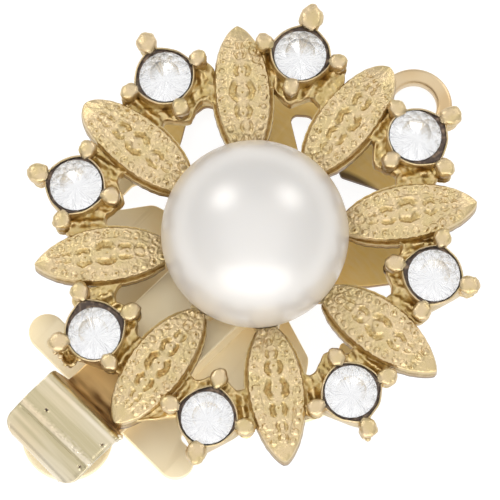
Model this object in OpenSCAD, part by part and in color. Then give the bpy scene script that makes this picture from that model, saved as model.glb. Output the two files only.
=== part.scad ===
// Flower box clasp: a cast flower with a pearl and eight rhinestones, on a cut-out
// back plate with a ring, fastened by a folded spring tongue with a thumb tab.
// Origin: middle of the flower, on the underside of the back plate.
// +X runs along the clasp towards the ring, +Z up through the pearl.

/* [Back plate] */
// Radius of the round part of the plate
plate_r = 9.4; // [9.3:0.05:9.5]
// Thickness of the plate's sheet
plate_t = 0.5; // [0.4:0.05:0.55]
// Distance from the middle to the front of the crossbar
bar_front_x = 11.85; // [11.7:0.05:11.95]
// Length of the crossbar over its round ends
bar_length = 11.9; // [11:0.1:12.2]
// Width of the crossbar
bar_w = 2.0; // [1.8:0.05:2.2]
// Width of the neck that joins the crossbar to the round plate
neck_w = 8.4; // [7.6:0.1:9]

/* [Ring] */
// Distance from the middle to the ring's middle
ring_x = 12.15; // [11.9:0.05:12.4]
// Outer radius of the ring
ring_r = 2.09; // [1.95:0.02:2.25]
// Radius of the ring's hole
ring_hole_r = 1.25; // [1.05:0.02:1.4]
// Height of the ring
ring_h = 0.85; // [0.6:0.05:1]

/* [Box] */
// Height of the box roof's upper face
box_top = 2.8; // [2.7:0.05:3]
// Thickness of the box's sheet
box_t = 0.35; // [0.25:0.05:0.4]
// Distance from the middle to the mouth of the box
mouth_x = 8.2; // [7.8:0.1:8.6]
// Distance from the middle to the rear end of the box
box_rear_x = 3.2; // [2.8:0.1:3.6]
// Depth of the lip that hangs from the roof at the mouth
lip_h = 0.2; // [0.1:0.02:0.2]

/* [Tongue] */
// Thickness of the tongue's strip
strip_t = 0.4; // [0.3:0.05:0.4]
// Width of the strip inside the box
strip_w = 3.9; // [3.6:0.05:3.9]
// Gap between the plate and the tongue
tongue_gap = 0.08; // [0.05:0.01:0.12]
// Distance from the middle to the fold's axis
fold_x = 1.6; // [1.4:0.1:2]
// Radius inside the fold
fold_inner_r = 0.25; // [0.2:0.05:0.3]
// Distance from the middle to the loop's middle
loop_x = 14.1; // [13.8:0.1:14.3]
// Outer radius of the loop
loop_r = 2.45; // [2.3:0.05:2.5]
// Radius of the loop's hole
loop_hole_r = 1.3; // [1.1:0.05:1.5]
// Width of the thumb tab
tab_w = 5.1; // [4.8:0.1:5.4]
// Height of the thumb tab's top
tab_top = 4.25; // [4:0.05:4.4]
// Distance from the middle to the tab's inner top edge
tab_inner_x = 12.6; // [12.6:0.05:12.9]
// Distance from the middle to the tab's outer edge
tab_outer_x = 16.4; // [16:0.05:16.5]

/* [Flower] */
// Distance from the middle to the hidden end of each leaf
leaf_root_r = 3.0; // [2.6:0.1:3.4]
// Greatest width of a leaf
leaf_w = 3.1; // [3:0.05:3.3]
// Depth of a leaf's side wall
leaf_depth = 1.2; // [1:0.05:1.3]
// Height of the leaves' crest
crest_z = 5.35; // [5.2:0.05:5.5]
// Distance from the middle to the crest
crest_r = 8.0; // [7.5:0.1:8.5]
// Radius of the arc that the leaves follow
leaf_arc_r = 12.7; // [12:0.1:14]
// Turn of the first leaf from the clasp's axis
leaf_turn = 8.6; // [8:0.2:9.2]

/* [Stones] */
// Height of the stones' girdle
stone_z = 5.55; // [5.5:0.05:5.7]
// Outward tilt of each stone cup
stone_tilt = 5; // [0:1:7]
// Turn of the first stone from the clasp's axis
stone_turn = 31.1; // [30.8:0.2:31.4]
// Girdle radius of a stone
stone_r = 1.4; // [1.35:0.01:1.42]
// Outer radius of a stone cup
cup_r = 1.64; // [1.6:0.01:1.7]
// Distance from a stone's middle to its prongs
prong_reach = 2.05; // [2:0.01:2.1]
// Radius of a prong's ball tip
prong_tip_r = 0.53; // [0.48:0.01:0.54]

/* [Pearl] */
// Radius of the pearl
pearl_r = 5.0; // [4.9:0.05:5]
// Height of the pearl's middle
pearl_z = 6.15; // [6.1:0.05:6.3]

/* [Hidden] */

petals = 8;
pitch = 360 / petals;

// The flower is finished by hand, so its parts sit a little off their even
// places. Columns: extra turn in degrees, distance from the middle.
leaf_places = [
    [-0.3, 12.04],
    [-3.4, 11.92],
    [-2.5, 11.87],
    [-1.6, 11.85],
    [0.1, 12.39],
    [-0.3, 12.14],
    [0.4, 12.01],
    [2.0, 12.08]];
stone_places = [
    [0.8, 10.32],
    [-1.9, 10.06],
    [-2.1, 9.98],
    [1.2, 10.03],
    [0.1, 10.17],
    [0.5, 9.85],
    [1.9, 9.76],
    [2.4, 10.24]];

// Cut-outs of the plate. Columns: x, y, corner radius.
side_cutout = [
    [-0.9, 3.0, 0.5],
    [-1.8, 6.0, 0.8],
    [-3.9, 7.5, 0.3],
    [-1.9, 7.6, 0.5],
    [0, 6.6, 0.25],
    [1.9, 7.6, 0.5],
    [2.8, 8.15, 0.5],
    [4.1, 8.0, 0.5],
    [4.9, 6.6, 0.4],
    [3.3, 5.4, 0.6],
    [0.9, 3.2, 0.5]];
rear_cutout = [
    [4.3, 0, 0.5],
    [7.0, -4.45, 0.35],
    [7.75, -3.6, 0.5],
    [7.45, -1.8, 1],
    [6.55, 0, 0.25],
    [7.45, 1.8, 1],
    [7.75, 3.6, 0.5],
    [7.0, 4.45, 0.35]];
small_gap = 0.03;       // between pieces that are set or glued
side_gap = 0.1;         // between the tongue and the box's side walls
cut = 0.5;              // how far a cutting body runs past a face
round_fn = 64;
ball_fn = 48;

box_inner_w = strip_w + 2 * side_gap;
box_w = box_inner_w + 2 * box_t;
box_length = mouth_x + box_rear_x;
roof_under = box_top - box_t;
lip_x = 0.4;            // how far the lip reaches into the box
rivet_r = 0.5;
rivet_head_r = 0.8;
rivet_head_h = 0.3;
rivet_x = 1.7;
rivet_y = 1.1;

tongue_z = plate_t + tongue_gap;
fold_outer_r = fold_inner_r + strip_t;
fold_z = tongue_z + fold_outer_r;
fold_split = 4;         // degrees left open at the top of the fold
neck_top = 2.0;
catch_h = 0.2;
catch_x = mouth_x - lip_x - 0.1;
catch_length = 0.6;
loop_t = 0.5;

seat_gap = 0.06;        // between the pearl and the seat's curved wall
seat_wall = 0.5;
seat_rim_z = 4.3;
seat_floor_t = 0.2;
pearl_flat_z = box_top + seat_floor_t + small_gap;

// Unit vector along v
function unit(v) = v / norm(v);

// Points of the arc that rounds corner b, between its neighbours a and c
function corner_arc(a, b, c, r, steps) =
    let (u = unit(a - b),
         v = unit(c - b),
         half_angle = acos(u * v) / 2,
         centre = b + unit(u + v) * r / sin(half_angle),
         start = b + u * r / tan(half_angle) - centre,
         stop = b + v * r / tan(half_angle) - centre)
    [for (i = [0:steps]) centre + r * unit(start * (steps - i) + stop * i)];

// Outline with every corner rounded; each corner is [x, y, radius]
function rounded(corners, steps = 5) =
    let (n = len(corners))
    [for (i = [0:n - 1])
        let (a = corners[(i + n - 1) % n], b = corners[i], c = corners[(i + 1) % n])
        each corner_arc([a[0], a[1]], [b[0], b[1]], [c[0], c[1]], b[2], steps)];

// Outline of a bent sheet: the rounded path along its top face, then the same
// path set back by the sheet's thickness. Each path point is [x, z, bend radius]
// and the path runs towards -X.
function bend_path(points, steps = 6) =
    let (last = len(points) - 1)
    [for (i = [0:last])
        let (b = [points[i][0], points[i][1]])
        each (i == 0 || i == last) ? [b]
            : corner_arc([points[i - 1][0], points[i - 1][1]], b,
                         [points[i + 1][0], points[i + 1][1]], points[i][2], steps)];

function path_normal(path, i) =
    let (last = len(path) - 1,
         along = unit(path[min(i + 1, last)] - path[max(i - 1, 0)]))
    [-along[1], along[0]];

function sheet_outline(path, t) =
    let (last = len(path) - 1)
    concat(path, [for (i = [last:-1:0]) path[i] + t * path_normal(path, i)]);

module cutout(corners) {
    translate([0, 0, -cut])
        linear_extrude(plate_t + 2 * cut)
            polygon(rounded(corners));
}

// Extrudes a side profile drawn in X and Z across the clasp's width
module across(width) {
    translate([0, width / 2, 0])
        rotate([90, 0, 0])
            linear_extrude(width)
                children();
}

// Round plate with a crossbar in front and an arm for the ring behind
module plate_sheet() {
    arm_w = 2.2;
    arm_x = plate_r - 1;
    bar_end_r = bar_w / 2;
    bar_end_y = bar_length / 2 - bar_end_r;
    cylinder(r = plate_r, h = plate_t, $fn = round_fn);
    translate([-bar_front_x, -neck_w / 2, 0])
        cube([bar_front_x, neck_w, plate_t]);
    translate([-bar_front_x, -bar_end_y, 0])
        cube([bar_w, 2 * bar_end_y, plate_t]);
    for (side = [-1, 1])
        translate([-bar_front_x + bar_end_r, side * bar_end_y, 0])
            cylinder(r = bar_end_r, h = plate_t, $fn = round_fn);
    translate([arm_x, -arm_w / 2, 0])
        cube([ring_x - ring_hole_r - 0.3 - arm_x, arm_w, plate_t]);
}

module ring_loop() {
    translate([ring_x, 0, 0])
        cylinder(r = ring_r, h = ring_h, $fn = round_fn);
}

// Bridge of sheet over the tongue, open at both ends, with a lip at the mouth
module box_bridge() {
    difference() {
        translate([-mouth_x, -box_w / 2, plate_t])
            cube([box_length, box_w, box_top - plate_t]);
        translate([-mouth_x - cut, -box_inner_w / 2, plate_t])
            cube([box_length + 2 * cut, box_inner_w, roof_under - plate_t]);
    }
    translate([-mouth_x, -box_inner_w / 2, roof_under - lip_h])
        cube([lip_x, box_inner_w, lip_h]);
}

module base_plate() {
    color("darkkhaki")
        difference() {
            union() {
                difference() {
                    plate_sheet();
                    cutout(side_cutout);
                    mirror([0, 1, 0])
                        cutout(side_cutout);
                    cutout(rear_cutout);
                }
                ring_loop();
                box_bridge();
            }
            translate([ring_x, 0, -cut])
                cylinder(r = ring_hole_r, h = ring_h + 2 * cut, $fn = round_fn);
            for (side = [-1, 1])
                translate([rivet_x, side * rivet_y, roof_under - cut])
                    cylinder(r = rivet_r, h = box_t + 2 * cut, $fn = round_fn);
        }
}

// Puts its children on the stone ring, upright along the tilted cup's own axis
module at_stone(i) {
    place = stone_places[i];
    rotate([0, 0, stone_turn + i * pitch + place[0]])
        translate([place[1], 0, stone_z])
            rotate([0, stone_tilt, 0])
                children();
}

// Upright body with the lens outline of one pointed leaf
module leaf_lens(tip_r) {
    length = tip_r - leaf_root_r;
    side_r = (length * length + leaf_w * leaf_w) / (4 * leaf_w);
    intersection() {
        lens_side(tip_r, side_r);
        mirror([0, 1, 0])
            lens_side(tip_r, side_r);
    }
}

module lens_side(tip_r, side_r) {
    translate([(tip_r + leaf_root_r) / 2, side_r - leaf_w / 2, crest_z - 3])
        cylinder(r = side_r, h = 4, $fn = 128);
}

// Shallow dome that the leaves are cut from
module dome_shell() {
    arc_z = crest_z - leaf_arc_r;
    rotate_extrude($fn = 128)
        intersection() {
            difference() {
                translate([crest_r, arc_z])
                    circle(r = leaf_arc_r, $fn = 256);
                translate([crest_r, arc_z])
                    circle(r = leaf_arc_r - leaf_depth, $fn = 256);
            }
            translate([leaf_root_r - 0.5, 0])
                square([crest_r + 2, crest_z + 1]);
        }
}

module leaves() {
    intersection() {
        dome_shell();
        for (i = [0:petals - 1])
            rotate([0, 0, leaf_turn + i * pitch + leaf_places[i][0]])
                leaf_lens(leaf_places[i][1]);
    }
}

// Bowl with a flat floor that the pearl is glued in
module pearl_seat() {
    wall_r = pearl_r + seat_gap;
    floor_r = sqrt(pow(wall_r, 2) - pow(pearl_z - pearl_flat_z, 2)) + seat_wall / 2;
    rotate_extrude($fn = round_fn)
        intersection() {
            difference() {
                translate([0, pearl_z])
                    circle(r = wall_r + seat_wall, $fn = 128);
                translate([0, pearl_z])
                    circle(r = wall_r, $fn = 128);
            }
            translate([0, box_top])
                square([pearl_r + 1, seat_rim_z - box_top]);
        }
    translate([0, 0, box_top])
        cylinder(r = floor_r, h = seat_floor_t, $fn = round_fn);
}

module stone_cup_body() {
    cup_h = 1.55;
    rim_drop = 0.08;
    translate([0, 0, -cup_h])
        cylinder(r = cup_r, h = cup_h - rim_drop, $fn = round_fn);
    translate([0, 0, -cup_h])
        web();
    for (turn = [0:90:270])
        rotate([0, 0, turn])
            translate([prong_reach, 0, 0])
                prong();
}

// Plate that ties a cup to the leaves on both sides of it
module web() {
    web_h = 0.7;
    outer_x = 0.4;
    outer_y = 3.1;
    inner_x = -2.3;
    inner_y = 1.9;
    linear_extrude(web_h)
        polygon([
            [outer_x, -outer_y],
            [outer_x, outer_y],
            [-outer_x, outer_y],
            [inner_x, inner_y],
            [inner_x, -inner_y],
            [-outer_x, -outer_y]]);
}

module prong() {
    stem_r = 0.4;
    stem_h = 1.3;
    translate([0, 0, -stem_h])
        cylinder(r = stem_r, h = stem_h, $fn = 32);
    sphere(r = prong_tip_r, $fn = ball_fn);
}

module stone_pocket() {
    pocket_depth = 1.0;
    translate([0, 0, -pocket_depth])
        cylinder(r = stone_r + 0.07, h = pocket_depth + 1, $fn = round_fn);
}

// Rivets that hold the casting on the roof of the box
module rivets() {
    for (side = [-1, 1])
        translate([rivet_x, side * rivet_y, 0]) {
            translate([0, 0, roof_under - rivet_head_h])
                cylinder(r = rivet_head_r, h = rivet_head_h, $fn = round_fn);
            translate([0, 0, roof_under - 0.1])
                cylinder(r = rivet_r - 0.02, h = box_t + 0.2, $fn = round_fn);
        }
}

module flower_casting() {
    color("goldenrod") {
        difference() {
            union() {
                leaves();
                for (i = [0:petals - 1])
                    at_stone(i)
                        stone_cup_body();
            }
            translate([0, 0, pearl_z])
                sphere(r = pearl_r + seat_gap, $fn = 96);
            for (i = [0:petals - 1])
                at_stone(i)
                    stone_pocket();
        }
        pearl_seat();
        rivets();
    }
}

module pearl() {
    color("linen")
        difference() {
            translate([0, 0, pearl_z])
                sphere(r = pearl_r, $fn = 96);
            translate([0, 0, pearl_flat_z - pearl_r])
                cube([2 * pearl_r + 1, 2 * pearl_r + 1, 2 * pearl_r], center = true);
        }
}

// Round-cut stone: table, crown, thin girdle and blunt pavilion
module rhinestone(i) {
    table_r = 0.85;
    crown_h = 0.4;
    girdle_h = 0.08;
    pavilion_h = 0.85;
    base_r = 0.3;
    color("aliceblue")
        at_stone(i - 1)
            rotate_extrude($fn = round_fn)
                polygon([
                    [0, -girdle_h - pavilion_h],
                    [base_r, -girdle_h - pavilion_h],
                    [stone_r, -girdle_h],
                    [stone_r, 0],
                    [table_r, crown_h],
                    [0, crown_h]]);
}

// Lower leaf: flat strip with the fold at one end and the loop at the other
module tongue_leaf() {
    fold_steps = 16;
    fold_angles = [for (i = [0:fold_steps]) -90 + i * (180 - fold_split) / fold_steps];
    fold_outline = concat(
        [for (a = fold_angles) [-fold_x + fold_outer_r * cos(a), fold_z + fold_outer_r * sin(a)]],
        [for (i = [fold_steps:-1:0])
            let (a = fold_angles[i])
            [-fold_x + fold_inner_r * cos(a), fold_z + fold_inner_r * sin(a)]]);
    color("khaki")
        difference() {
            union() {
                translate([-loop_x, -strip_w / 2, tongue_z])
                    cube([loop_x - fold_x, strip_w, strip_t]);
                across(strip_w)
                    polygon(fold_outline);
                translate([-loop_x, 0, tongue_z])
                    cylinder(r = loop_r, h = loop_t, $fn = round_fn);
            }
            translate([-loop_x, 0, tongue_z - cut])
                cylinder(r = loop_hole_r, h = loop_t + 2 * cut, $fn = round_fn);
        }
}

// Upper leaf: springs from the fold, leaves the box and rises to the thumb tab
module thumb_leaf() {
    fold_top = fold_z + fold_outer_r;
    riser_x = tab_inner_x - 0.6;
    ridge_x = 14.6;
    tab_drop = 0.65;
    tab_end_z = 2.9;
    profile = bend_path([
        [-fold_x - 0.03, fold_top, 0],
        [-mouth_x, neck_top, 3],
        [-riser_x, neck_top, 0.7],
        [-tab_inner_x, tab_top, 0.4],
        [-ridge_x, tab_top, 2],
        [-tab_outer_x, tab_top - tab_drop, 0.45],
        [-tab_outer_x, tab_end_z, 0]]);
    plan = rounded([
        [-fold_x, -strip_w / 2, 0.02],
        [-fold_x, strip_w / 2, 0.02],
        [-riser_x - 0.1, strip_w / 2, 0.2],
        [-riser_x - 0.4, tab_w / 2, 0.2],
        [-tab_outer_x - 0.01, tab_w / 2, 0.7],
        [-tab_outer_x - 0.01, -tab_w / 2, 0.7],
        [-riser_x - 0.4, -tab_w / 2, 0.2],
        [-riser_x - 0.1, -strip_w / 2, 0.2]]);
    color("palegoldenrod") {
        intersection() {
            across(tab_w + 1)
                polygon(sheet_outline(profile, strip_t));
            linear_extrude(tab_top + 1)
                polygon(plan);
        }
        // catch behind the lip of the box
        translate([-catch_x, -strip_w / 2 + 0.4, neck_top - strip_t / 2])
            cube([catch_length, strip_w - 0.8, strip_t / 2 + catch_h]);
    }
}

base_plate();
flower_casting();
pearl();
for (i = [1:petals])
    rhinestone(i);
tongue_leaf();
thumb_leaf();
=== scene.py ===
import math
import random

import bmesh
import bpy
import numpy as np
from mathutils import Matrix, Vector, noise


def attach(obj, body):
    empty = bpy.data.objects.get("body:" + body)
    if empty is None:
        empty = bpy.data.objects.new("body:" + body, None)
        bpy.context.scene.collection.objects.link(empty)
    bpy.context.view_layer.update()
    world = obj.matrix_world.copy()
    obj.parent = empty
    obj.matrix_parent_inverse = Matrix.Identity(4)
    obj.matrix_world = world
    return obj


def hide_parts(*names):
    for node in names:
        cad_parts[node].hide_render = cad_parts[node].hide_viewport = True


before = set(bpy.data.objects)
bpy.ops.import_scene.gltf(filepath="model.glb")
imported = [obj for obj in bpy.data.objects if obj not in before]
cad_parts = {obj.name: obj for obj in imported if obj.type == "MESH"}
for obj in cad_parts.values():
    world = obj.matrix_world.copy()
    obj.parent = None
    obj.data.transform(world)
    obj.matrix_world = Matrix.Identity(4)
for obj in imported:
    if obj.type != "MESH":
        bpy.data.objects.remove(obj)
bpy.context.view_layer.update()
mm = 0.001  # every size below is in millimetres, Blender works in metres

view = {
    "azimuth": -44.44,
    "elevation": 76.53,
    "distance": 284.66,
    "aim": (0, 0, 5),
    "aimOffset": (-0.265, -0.586),  # right and up in the picture
    "lens": 383.9,
    "sensorWidth": 36,
    "clipStart": 0.01,
}


def addObject(name, data):
    item = bpy.data.objects.new(name, data)
    bpy.context.scene.collection.objects.link(item)
    return item


def addCamera():
    a, e = math.radians(view["azimuth"]), math.radians(view["elevation"])
    back = Vector((math.sin(a) * math.cos(e), -math.cos(a) * math.cos(e), math.sin(e)))
    right = Vector((math.cos(a), math.sin(a), 0))
    up = back.cross(right)
    data = bpy.data.cameras.new("camera")
    data.lens = view["lens"]
    data.sensor_width = view["sensorWidth"]
    data.clip_start = view["clipStart"]
    camera = addObject("camera", data)
    camera.matrix_world = Matrix((right, up, back)).transposed().to_4x4()
    aim = Vector(view["aim"]) + right * view["aimOffset"][0] + up * view["aimOffset"][1]
    camera.location = (aim + back * view["distance"]) * mm
    bpy.context.scene.camera = camera


addCamera()
print("camera placed")


# Node helpers for the materials

def newMaterial(name):
    material = bpy.data.materials.new(name)
    material.use_nodes = True
    tree = material.node_tree
    return material, tree, tree.nodes["Principled BSDF"]


def feed(tree, node, inputs):
    # a socket is linked, any other value is set
    for key, value in inputs.items():
        if isinstance(value, bpy.types.NodeSocket):
            tree.links.new(value, node.inputs[key])
        else:
            node.inputs[key].default_value = value


def addNode(tree, kind, inputs=None, **settings):
    node = tree.nodes.new(kind)
    for key, value in settings.items():
        setattr(node, key, value)
    feed(tree, node, inputs or {})
    return node


def placeIn(tree, kind="Object"):
    return addNode(tree, "ShaderNodeTexCoord").outputs[kind]


def noiseAt(tree, size, detail=3, stretch=(1, 1, 1)):
    # noise whose features are about size millimetres across
    scaled = addNode(tree, "ShaderNodeMapping", {"Vector": placeIn(tree), "Scale": stretch})
    texture = addNode(tree, "ShaderNodeTexNoise", {
        "Vector": scaled.outputs["Vector"],
        "Scale": 1 / (size * mm),
        "Detail": detail})
    return texture.outputs["Fac"]


def mapTo(tree, value, low, high, fromLow=0.0, fromHigh=1.0):
    node = addNode(tree, "ShaderNodeMapRange", {
        "Value": value, "From Min": fromLow, "From Max": fromHigh, "To Min": low, "To Max": high})
    return node.outputs["Result"]


def colourValue(colour):
    # a socket, a name from goldFinish or three numbers
    if isinstance(colour, bpy.types.NodeSocket):
        return colour
    return (*goldFinish.get(colour, colour), 1)


def mixColours(tree, factor, first, second):
    inputs = {"Factor": factor, 6: colourValue(first), 7: colourValue(second)}
    return addNode(tree, "ShaderNodeMix", inputs, data_type="RGBA").outputs[2]


def product(tree, first, second):
    return addNode(tree, "ShaderNodeMath", {0: first, 1: second}, operation="MULTIPLY").outputs[0]


def addBump(tree, shader, height, distance):
    # a second call lays its bump over the first
    bump = addNode(tree, "ShaderNodeBump", {"Height": height, "Distance": distance * mm, "Strength": 1})
    earlier = shader.inputs["Normal"].links
    if earlier:
        tree.links.new(earlier[0].from_socket, bump.inputs["Normal"])
    tree.links.new(bump.outputs["Normal"], shader.inputs["Normal"])


goldFinish = {
    "pale": (0.97, 0.85, 0.60),
    "warm": (0.95, 0.79, 0.49),
    "ochre": (0.92, 0.63, 0.16),
    "amber": (1.0, 0.70, 0.31),
    "tan": (0.76, 0.63, 0.43),
    "bronze": (0.62, 0.45, 0.25),
    "cast": (0.66, 0.51, 0.30),
    "straw": (0.77, 0.58, 0.29),
    "rose": (0.66, 0.515, 0.32),
    "olive": (0.61, 0.48, 0.25),
    "honey": (0.54, 0.41, 0.18),
    "deepBrown": (0.20, 0.085, 0.02),
    "umber": (0.34, 0.19, 0.055),
    "soot": (0.10, 0.06, 0.03),
    "olivewood": (0.58, 0.42, 0.16),
    "cream": (0.76, 0.675, 0.52),
    "bandShade": (0.52, 0.45, 0.28),
    "oxide": (0.085, 0.06, 0.048),
    "oxideWorn": (0.30, 0.21, 0.14),
}


# painted reflection of the casting's dark underside, browner towards the ring
paintedPlateReflection = {
    "strength": 0.74,
    "from": -4,
    "full": 1,
}
rearOpeningDarkening = {
    "middle": (6.86, -0.75, 0.5),
    "turn": -72,
    "halfSize": (1.7, 0.4, 3),
    "strength": 0.9,
    "core": 0.6,
    "rim": 1.2,
}
sheetLook = {
    "tintSize": 4,
    "rubSize": 0.5,
    "rubShade": (0.85, 1.15),  # how much the rubbing thins or thickens the painted shade and reflection
    "roughnessSpread": 0.07,
    "waveSize": 2.2,
    "waveDepth": 0.008,
}
castLook = {
    "patchSize": 0.8,
    "washSize": 0.25,
    "washUneven": (0.5, 1.3),
    "honeyRange": (0.08, 0.45),  # the wash first tints the gold, then covers it
    "coverRange": (0.25, 1),
    "deepRange": (0.86, 1),
    "grainSize": 0.09,
    "roughnessSpread": 0.16,
    "lumpSize": 0.3,
}
oxideLook = {
    "patchSize": 0.25,
    "metal": 0.4,
    "roughness": (0.35, 0.6),
    "crustSize": 0.12,
    "crustDepth": 0.025,
}


def recessOf(tree):
    # how much brown a place holds, stored on the mesh: wash in the hollows of the casting, painted shade
    # on the leaves' side walls, the cups, the neck and the tab's bands
    return addNode(tree, "ShaderNodeAttribute", attribute_name="recess").outputs["Fac"]


def paintedReflectionTowardRing(tree):
    # painted reflection: the plate turns browner from the middle towards the ring, standing in for the
    # dark underside of the casting that it reflects
    x = addNode(tree, "ShaderNodeSeparateXYZ", {0: placeIn(tree)}).outputs["X"]
    return mapTo(tree, x, 0, paintedPlateReflection["strength"], paintedPlateReflection["from"] * mm, paintedPlateReflection["full"] * mm)


def darkerBesideHole(tree):
    # darker along the rear opening, even in its core and fading to its rim
    local = addNode(tree, "ShaderNodeMapping", {
        "Vector": placeIn(tree),
        "Location": tuple(p * mm for p in rearOpeningDarkening["middle"]),
        "Rotation": (0, 0, math.radians(rearOpeningDarkening["turn"])),
        "Scale": tuple(s * mm for s in rearOpeningDarkening["halfSize"])}, vector_type="TEXTURE").outputs[0]
    distance = addNode(tree, "ShaderNodeVectorMath", {0: local}, operation="LENGTH").outputs["Value"]
    return mapTo(tree, distance, rearOpeningDarkening["strength"], 0, rearOpeningDarkening["core"], rearOpeningDarkening["rim"])


def sheetGold(name, main, patchColour, washAndShadeColour, paintedShadePlace, stretch, grain, rubDepth, metal=1.0):
    # plated sheet with a slight wave, finely rubbed along one direction
    material, tree, shader = newMaterial(name)
    tint = mapTo(tree, noiseAt(tree, sheetLook["tintSize"], 2), 0, 1, 0.35, 0.65)
    rub = noiseAt(tree, sheetLook["rubSize"], 4, stretch)
    # painted shade and painted reflection, laid where the given place function is strong and broken up
    # by the rubbing
    washAndShade = product(tree, paintedShadePlace(tree), mapTo(tree, rub, *sheetLook["rubShade"], 0.3, 0.7))
    colour = mixColours(tree, washAndShade, mixColours(tree, tint, main, patchColour), washAndShadeColour)
    # on the plate: darker cut edges and a darker band beside the rear opening
    if paintedShadePlace != recessOf:
        colour = mixColours(tree, recessOf(tree), colour, "deepBrown")
        colour = mixColours(tree, darkerBesideHole(tree), colour, "soot")
    feed(tree, shader, {
        "Metallic": metal,
        "Base Color": colour,
        "Roughness": mapTo(tree, rub, grain, grain + sheetLook["roughnessSpread"], 0.3, 0.7)})
    addBump(tree, shader, noiseAt(tree, sheetLook["waveSize"], 1), sheetLook["waveDepth"])
    addBump(tree, shader, rub, rubDepth)
    return material


def castGold(name, main, patchColour, washAndShadeColour, deepColour, rough, lumpDepth, grainDepth):
    # satin casting: fine grain, brown wash that stays in the recesses, and painted shade where the
    # stored values carry it
    material, tree, shader = newMaterial(name)
    patch = mapTo(tree, noiseAt(tree, castLook["patchSize"]), 0, 1, 0.4, 0.65)
    uneven = mapTo(tree, noiseAt(tree, castLook["washSize"]), *castLook["washUneven"], 0.3, 0.7)
    washAndShade = product(tree, recessOf(tree), uneven)
    colour = mixColours(tree, patch, main, patchColour)
    for place, limits, over in ((washAndShade, castLook["honeyRange"], "honey"),
                                (washAndShade, castLook["coverRange"], washAndShadeColour),
                                (recessOf(tree), castLook["deepRange"], deepColour)):
        colour = mixColours(tree, mapTo(tree, place, 0, 1, *limits), colour, over)
    grain = noiseAt(tree, castLook["grainSize"])
    feed(tree, shader, {
        "Metallic": 1,
        "Base Color": colour,
        "Roughness": mapTo(tree, grain, rough, rough + castLook["roughnessSpread"], 0.3, 0.7)})
    addBump(tree, shader, noiseAt(tree, castLook["lumpSize"], 2), lumpDepth)
    addBump(tree, shader, grain, grainDepth)
    return material


def oxideBlack():
    # blackened gap left between cup and stone
    material, tree, shader = newMaterial("oxideBlack")
    patch = mapTo(tree, noiseAt(tree, oxideLook["patchSize"]), 0, 1, 0.45, 0.7)
    crustSize = oxideLook["crustSize"]
    feed(tree, shader, {
        "Metallic": oxideLook["metal"],
        "Base Color": mixColours(tree, patch, "oxide", "oxideWorn"),
        "Roughness": mapTo(tree, noiseAt(tree, crustSize, 2), *oxideLook["roughness"])})
    addBump(tree, shader, noiseAt(tree, crustSize), oxideLook["crustDepth"])
    return material


pearlLook = {
    "colours": ((0.655, 0.675, 0.72), (0.675, 0.69, 0.725)),
    "tintSize": 6,
    "roughness": (0.34, 0.38),
    "roughnessSize": 3,
    "gloss": {
        "Metallic": 0.25,
        "Specular IOR Level": 0.8,
        "Coat Weight": 0.8,
        "Coat Tint": (1.0, 0.93, 0.82, 1),
        "Coat Roughness": 0.27,
        "Subsurface Weight": 0.15,
        "Subsurface Radius": (1.2 * mm, 1.0 * mm, 0.8 * mm),
        "Subsurface Scale": 1,
    },
}


def pearlCoat():
    # nacre under a soft, faintly cream gloss
    material, tree, shader = newMaterial("pearlCoat")
    tint = mapTo(tree, noiseAt(tree, pearlLook["tintSize"], 2), 0, 1, 0.3, 0.7)
    uneven = noiseAt(tree, pearlLook["roughnessSize"], 1)
    feed(tree, shader, {
        **pearlLook["gloss"],
        "Base Color": mixColours(tree, tint, *pearlLook["colours"]),
        "Roughness": mapTo(tree, uneven, *pearlLook["roughness"])})
    return material


crystalLook = {
    "refraction": 1.52,
    "roughness": (0.0, 0.03),
    "scuffSize": 0.4,
}
foilLook = {
    "metal": 0.92,
    "colours": ((1, 1, 1), (0.79, 0.79, 0.81)),
    "rays": 60,
    "roughness": (0.16, 0.30),
    "roughnessSize": 0.3,
    "dentSize": 0.22,
    "dentDepth": 0.02,
}


def clearCrystal():
    material, tree, shader = newMaterial("clearCrystal")
    scuffs = noiseAt(tree, crystalLook["scuffSize"], 2)
    feed(tree, shader, {
        "Base Color": (1, 1, 1, 1),
        "Transmission Weight": 1,
        "IOR": crystalLook["refraction"],
        "Roughness": mapTo(tree, scuffs, *crystalLook["roughness"], 0.4, 0.8)})
    return material


def silverFoil():
    # bright coat on the back of each stone, with rays from its middle
    material, tree, shader = newMaterial("silverFoil")
    centred = addNode(tree, "ShaderNodeVectorMath", {
        0: placeIn(tree, "Generated"), 1: (0.5, 0.5, 0.5)}, operation="SUBTRACT").outputs[0]
    turn = addNode(tree, "ShaderNodeTexGradient", {"Vector": centred}, gradient_type="RADIAL")
    rays = addNode(tree, "ShaderNodeTexNoise", {
        "W": turn.outputs["Fac"],
        "Scale": foilLook["rays"],
        "Detail": 2}, noise_dimensions="1D").outputs["Fac"]
    uneven = noiseAt(tree, foilLook["roughnessSize"], 2)
    feed(tree, shader, {
        "Metallic": foilLook["metal"],
        "Base Color": mixColours(tree, mapTo(tree, rays, 0, 1, 0.5, 0.72), *foilLook["colours"]),
        "Roughness": mapTo(tree, uneven, *foilLook["roughness"])})
    addBump(tree, shader, noiseAt(tree, foilLook["dentSize"]), foilLook["dentDepth"])
    return material


# Stretch of the rubbing, roughness, depth of the rubbing, metal
sheetGoldMaterial = sheetGold(
    "sheetGold", "pale", "warm", "ochre", paintedReflectionTowardRing, (2, 0.6, 1), 0.45, 0.0006, 0.4)
# painted light: the ring is a darker tan copy of the plate's sheet, and the plate is kept pale, because
# the plate lies in the casting's shade and the ring in the open
ringGoldMaterial = sheetGold(
    "ringGold", "tan", "bronze", "ochre", recessOf, (1, 1, 1), 0.36, 0.0006)
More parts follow.
